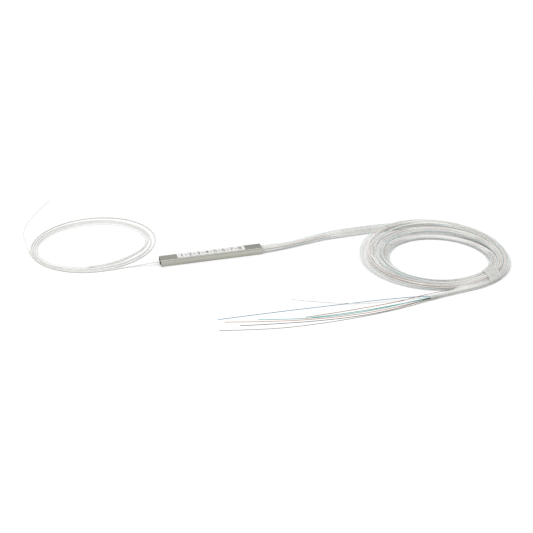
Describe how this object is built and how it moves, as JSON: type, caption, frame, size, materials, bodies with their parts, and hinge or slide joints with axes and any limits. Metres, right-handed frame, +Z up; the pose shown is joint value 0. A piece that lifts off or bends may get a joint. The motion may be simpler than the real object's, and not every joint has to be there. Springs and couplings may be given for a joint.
{
  "type": "plc fibre splitter",
  "caption": "Slim steel tube housing with a planar lightwave chip that splits one coiled input fibre into a coiled, taped bundle of bare-ended output fibres.",
  "frame": {"origin": "centre of the steel housing's underside, which rests on the surface", "axes": "+X along the housing from the input to the outputs, +Y to the housing's back, +Z up"},
  "size_m": [0.2665, 0.2025, 0.0046],
  "materials": {
    "brushed_stainless": "fine brushing along the tube",
    "black_epoxy": "matt potting",
    "white_vinyl": "satin label film",
    "clear_tape": "translucent tape",
    "silica": "polished",
    "borosilicate": "ground and polished",
    "soft_glue": "clear amber glue",
    "silicone": "soft translucent silicone",
    "natural_fibre": "clear coated fibre",
    "white_tube": "translucent white loose tube",
    "blue_fibre": "coloured fibre coating",
    "orange_fibre": "coloured fibre coating",
    "green_fibre": "coloured fibre coating",
    "brown_fibre": "coloured fibre coating",
    "slate_fibre": "coloured fibre coating",
    "white_fibre": "coloured fibre coating",
    "black_fibre": "coloured fibre coating",
    "aqua_fibre": "coloured fibre coating"
  },
  "bodies": {
    "root": {"bare_fibre_1": "blue_fibre", "bare_fibre_2": "orange_fibre", "bare_fibre_3": "green_fibre", "bare_fibre_4": "brown_fibre", "bare_fibre_5": "slate_fibre", "bare_fibre_6": "white_fibre", "bare_fibre_7": "black_fibre", "bare_fibre_8": "aqua_fibre", "chip_base": "silica", "chip_lid": "silica", "coil_tape": "clear_tape", "cushion_bed": "silicone", "fanout_fibre_1": "blue_fibre", "fanout_fibre_2": "orange_fibre", "fanout_fibre_3": "green_fibre", "fanout_fibre_4": "brown_fibre", "fanout_fibre_5": "slate_fibre", "fanout_fibre_6": "white_fibre", "fanout_fibre_7": "black_fibre", "fanout_fibre_8": "aqua_fibre", "fibre_ribbon": "natural_fibre", "input_block": "borosilicate", "input_block_lid": "borosilicate", "input_coil": "white_tube", "input_fibre": "natural_fibre", "input_glue": "soft_glue", "input_lead": "white_tube", "input_plug": "black_epoxy", "input_tail": "natural_fibre", "label": "white_vinyl", "output_block": "borosilicate", "output_block_lid": "borosilicate", "output_coil": "white_tube", "output_glue": "soft_glue", "output_lead_1": "white_tube", "output_lead_2": "white_tube", "output_lead_3": "white_tube", "output_lead_4": "white_tube", "output_lead_5": "white_tube", "output_lead_6": "white_tube", "output_lead_7": "white_tube", "output_lead_8": "white_tube", "output_plug": "black_epoxy", "output_tail_1": "white_tube", "output_tail_2": "white_tube", "output_tail_3": "white_tube", "output_tail_4": "white_tube", "output_tail_5": "white_tube", "output_tail_6": "white_tube", "output_tail_7": "white_tube", "output_tail_8": "white_tube", "steel_housing": "brushed_stainless"}
  },
  "joints": []
}
